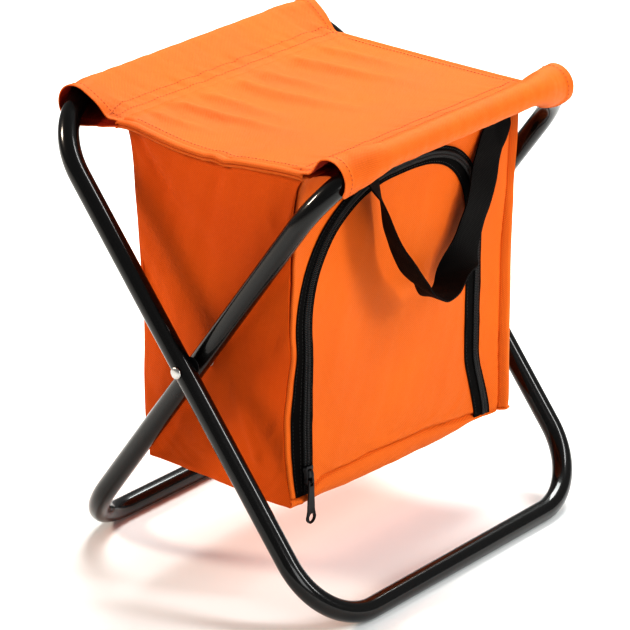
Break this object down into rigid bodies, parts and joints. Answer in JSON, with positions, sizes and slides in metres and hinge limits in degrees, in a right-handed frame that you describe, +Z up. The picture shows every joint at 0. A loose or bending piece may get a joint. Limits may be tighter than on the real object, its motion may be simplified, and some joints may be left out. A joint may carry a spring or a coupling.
{
  "type": "folding cooler stool",
  "caption": "Folding stool with crossed bent-tube frames and a cloth seat, above an insulated cooler bag with a zipped front door and a carrying strap.",
  "frame": {"origin": "on the floor, midway between the two frames' floor rails and between the near and far legs", "axes": "+Z up, +Y along the rails, +X from the rear rail towards the front, where the cooler's door is"},
  "size_m": [0.2777, 0.342, 0.3576],
  "materials": {
    "frame_paint": "gloss black powder coat",
    "plain_steel": "plain",
    "zinc_steel": "zinc plated, satin",
    "nylon": "matt black",
    "orange_cloth": "coated woven polyester, matt",
    "insulating_foam": "closed-cell foam, matt",
    "foil_liner": "foil laminate, semi-gloss",
    "zip_tape": "woven tape, matt black",
    "zip_coil": "nylon coil, satin black",
    "zip_metal": "gunmetal, satin",
    "webbing": "woven webbing, matt black"
  },
  "bodies": {
    "outer_frame": {"outer_frame_tube": "frame_paint", "outer_frame_splice": "plain_steel", "seat_rear_sleeve": "orange_cloth", "pivot_rivet_near": "zinc_steel", "pivot_rivet_far": "zinc_steel", "pivot_spacer_near": "nylon", "pivot_spacer_far": "nylon", "rivet_washer_near": "zinc_steel", "rivet_washer_far": "zinc_steel"},
    "inner_frame": {"inner_frame_tube": "frame_paint", "inner_frame_splice": "plain_steel", "seat_front_sleeve": "orange_cloth"},
    "bag_back": {"seat_panel": "orange_cloth", "back_panel": "orange_cloth", "near_side_panel": "orange_cloth", "far_side_panel": "orange_cloth", "bottom_panel": "orange_cloth", "foam_back": "insulating_foam", "foam_near_side": "insulating_foam", "foam_far_side": "insulating_foam", "foam_bottom": "insulating_foam", "foam_top": "insulating_foam", "liner_back": "foil_liner", "liner_near_side": "foil_liner", "liner_far_side": "foil_liner", "liner_bottom": "foil_liner", "liner_top": "foil_liner"},
    "bag_front": {"front_panel": "orange_cloth", "foam_front": "insulating_foam", "zip_tape_bag": "zip_tape", "zip_coil_bag": "zip_coil"},
    "front_seam": {"front_seam_binding": "orange_cloth"},
    "door": {"door_panel": "orange_cloth", "foam_door": "insulating_foam", "liner_door": "foil_liner", "zip_tape_door": "zip_tape", "zip_coil_door": "zip_coil"},
    "zip_slider": {"zip_slider": "zip_metal"},
    "pull_tab": {"zip_pull_tab": "zip_metal"},
    "strap": {"carry_strap": "webbing"}
  },
  "joints": [
    {"name": "fold", "type": "hinge", "parent": "outer_frame", "child": "inner_frame", "pos_m": [0, 0, 0.178], "axis": [0, -1, 0], "range_deg": [0, 56], "deforming": ["seat_rear_sleeve", "seat_front_sleeve", "seat_panel", "front_seam_binding", "near_side_panel", "far_side_panel", "bottom_panel", "foam_near_side", "foam_far_side", "foam_bottom", "foam_top", "liner_near_side", "liner_far_side", "liner_bottom", "liner_top"]},
    {"name": "bag_swing", "type": "hinge", "parent": "outer_frame", "child": "bag_back", "pos_m": [-0.023, 0, 0.27025], "axis": [0, -1, 0], "range_deg": [0, 28]},
    {"name": "bag_close", "type": "slide", "parent": "bag_back", "child": "bag_front", "axis": [-1, 0, 0], "range_m": [0, 0.092]},
    {"name": "seam_swing", "type": "hinge", "parent": "inner_frame", "child": "front_seam", "pos_m": [0.023, 0, 0.27025], "axis": [0, 1, 0], "range_deg": [0, 28]},
    {"name": "door_open", "type": "hinge", "parent": "bag_front", "child": "door", "pos_m": [0.0743, 0, 0.112], "axis": [0, 1, 0], "range_deg": [0, 105], "deforming": ["carry_strap"]},
    {"name": "zip_slide", "type": "slide", "parent": "bag_front", "child": "zip_slider", "axis": [0, 0, 1], "range_m": [0, 0.105]},
    {"name": "tab_swing", "type": "hinge", "parent": "zip_slider", "child": "pull_tab", "pos_m": [0.0789, -0.113, 0.0967], "axis": [0, -1, 0], "range_deg": [0, 120]},
    {"name": "strap_swing", "type": "hinge", "parent": "bag_front", "child": "strap", "pos_m": [0.0751, 0, 0.333], "axis": [0, -1, 0], "range_deg": [0, 80]}
  ],
  "couplings": [
    {"joint": "bag_swing", "follows": "fold", "ratio": 0.5},
    {"joint": "bag_close", "follows": "fold", "m_per_rad": 0.09412},
    {"joint": "seam_swing", "follows": "fold", "ratio": 0.5}
  ]
}
